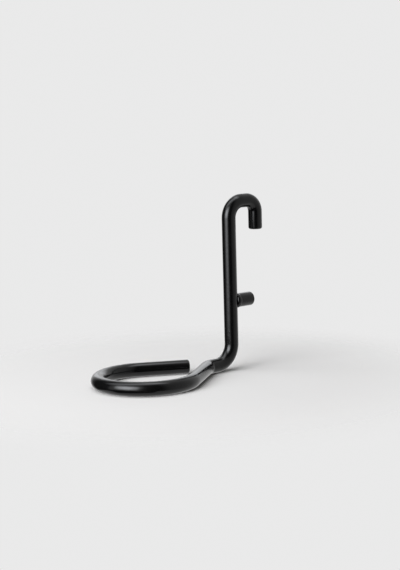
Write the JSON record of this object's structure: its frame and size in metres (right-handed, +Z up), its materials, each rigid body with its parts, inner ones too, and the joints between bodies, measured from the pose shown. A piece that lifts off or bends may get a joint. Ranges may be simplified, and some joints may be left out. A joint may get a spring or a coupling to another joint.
{
  "type": "pegboard hook",
  "caption": "Bent round-wire hook with an open level ring at its foot, a downturned tongue to hang it in a slotted panel, and a welded peg that steadies it in the slot below.",
  "frame": {"origin": "on the centreline of the level neck, in the plane that the back of the shank lies in", "axes": "+Z up, +X to the right as seen by the user, -Y outwards to the user; y = 0 is the plane of the shank's back"},
  "size_m": [0.0322, 0.0616, 0.053],
  "materials": {
    "black_coat": "smooth satin-gloss black powder coat on steel wire"
  },
  "bodies": {
    "root": {"hook_wire": "black_coat", "locating_peg": "black_coat"}
  },
  "joints": []
}
